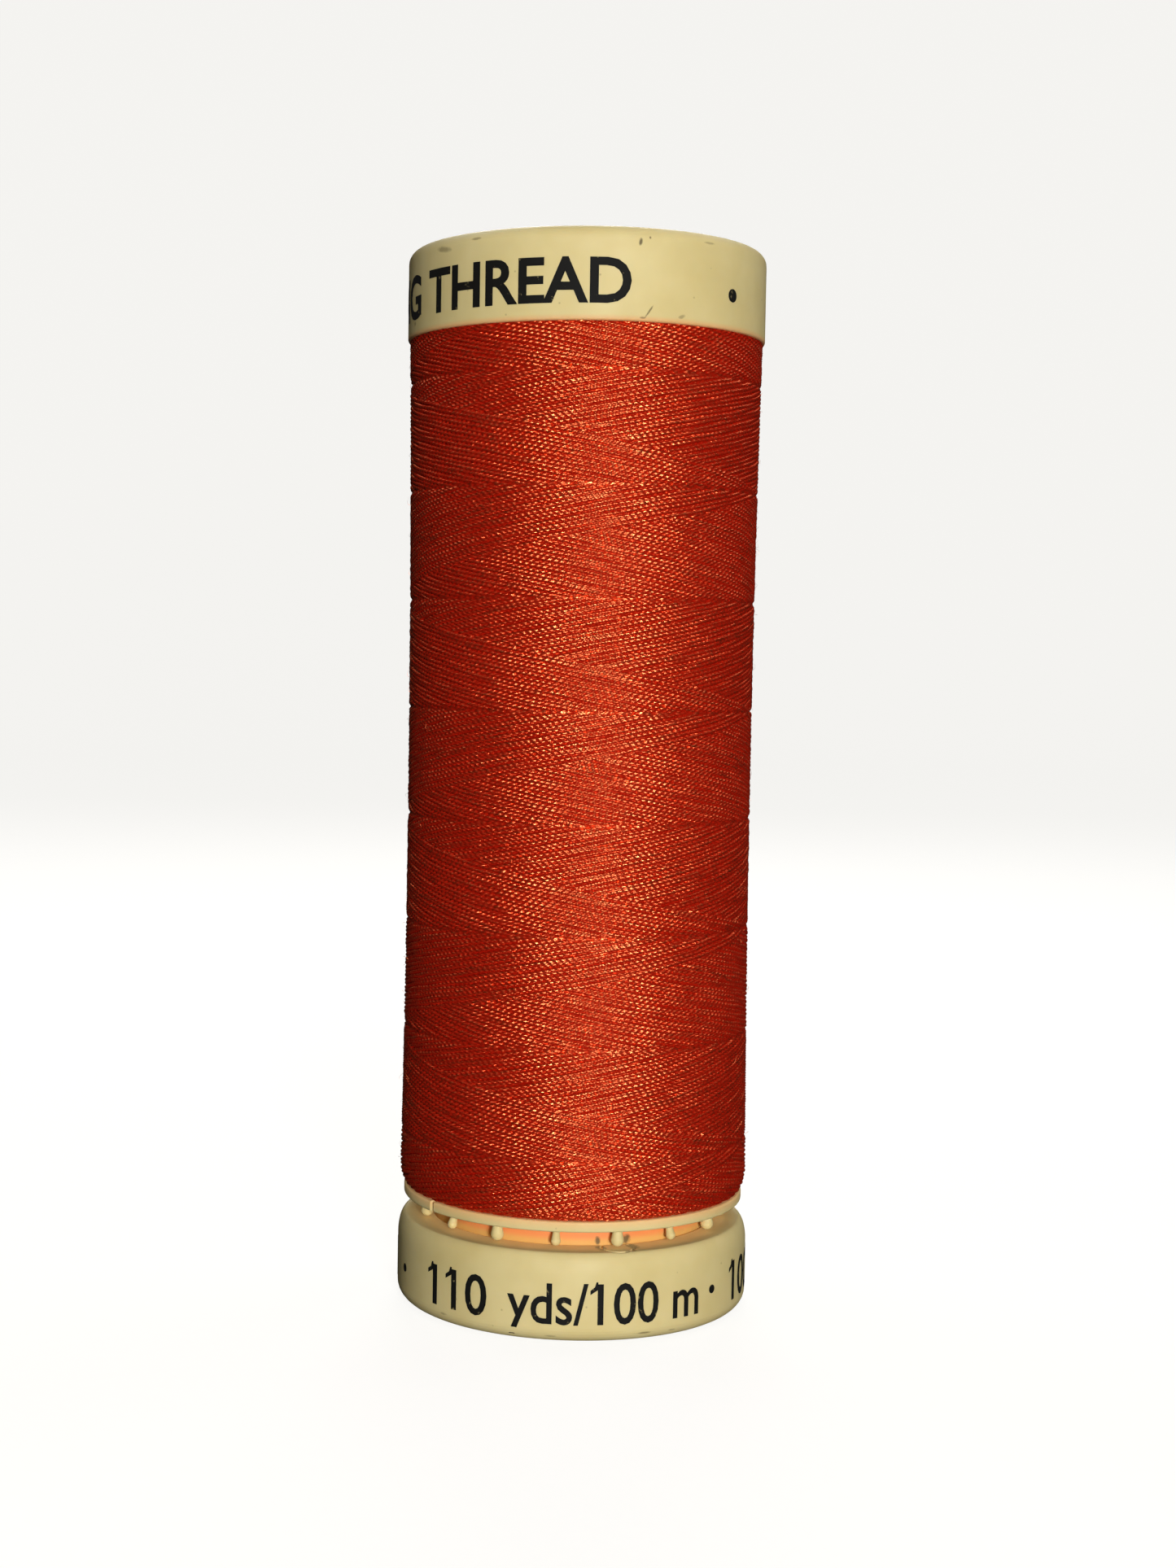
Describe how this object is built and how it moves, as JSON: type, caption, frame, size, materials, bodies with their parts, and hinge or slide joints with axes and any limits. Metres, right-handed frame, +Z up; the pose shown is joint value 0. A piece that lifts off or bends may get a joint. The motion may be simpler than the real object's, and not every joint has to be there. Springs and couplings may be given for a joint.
{
  "type": "sewing thread spool",
  "caption": "Slim moulded plastic spool wound with sewing thread, with a hole for a machine's spool pin and a sliding snap base that opens and closes a toothed groove to hold the thread's end.",
  "frame": {"origin": "centre of the base's foot ring, on the face that the spool stands on", "axes": "+Z up along the spool's axis, from the base to the top collar; -Y is the front, with the print in view"},
  "size_m": [0.021, 0.021, 0.062],
  "materials": {
    "ivory_plastic": "moulded ivory polystyrene with a soft gloss, a little aged and handled",
    "polyester_thread": "orange-red two-ply spun polyester thread with a soft sheen",
    "label_paper": "matt printed paper",
    "print_ink": "black pad-printed ink"
  },
  "bodies": {
    "spool": {"spool_barrel": "ivory_plastic", "top_collar": "ivory_plastic", "spindle_tube": "ivory_plastic", "thread_winding": "polyester_thread", "thread_tail": "polyester_thread", "top_label": "label_paper"},
    "base": {"base_collar": "ivory_plastic", "base_label": "label_paper"}
  },
  "joints": [
    {"name": "base_slide", "type": "slide", "parent": "base", "child": "spool", "axis": [0, 0, 1], "range_m": [0, 0.00085]}
  ]
}
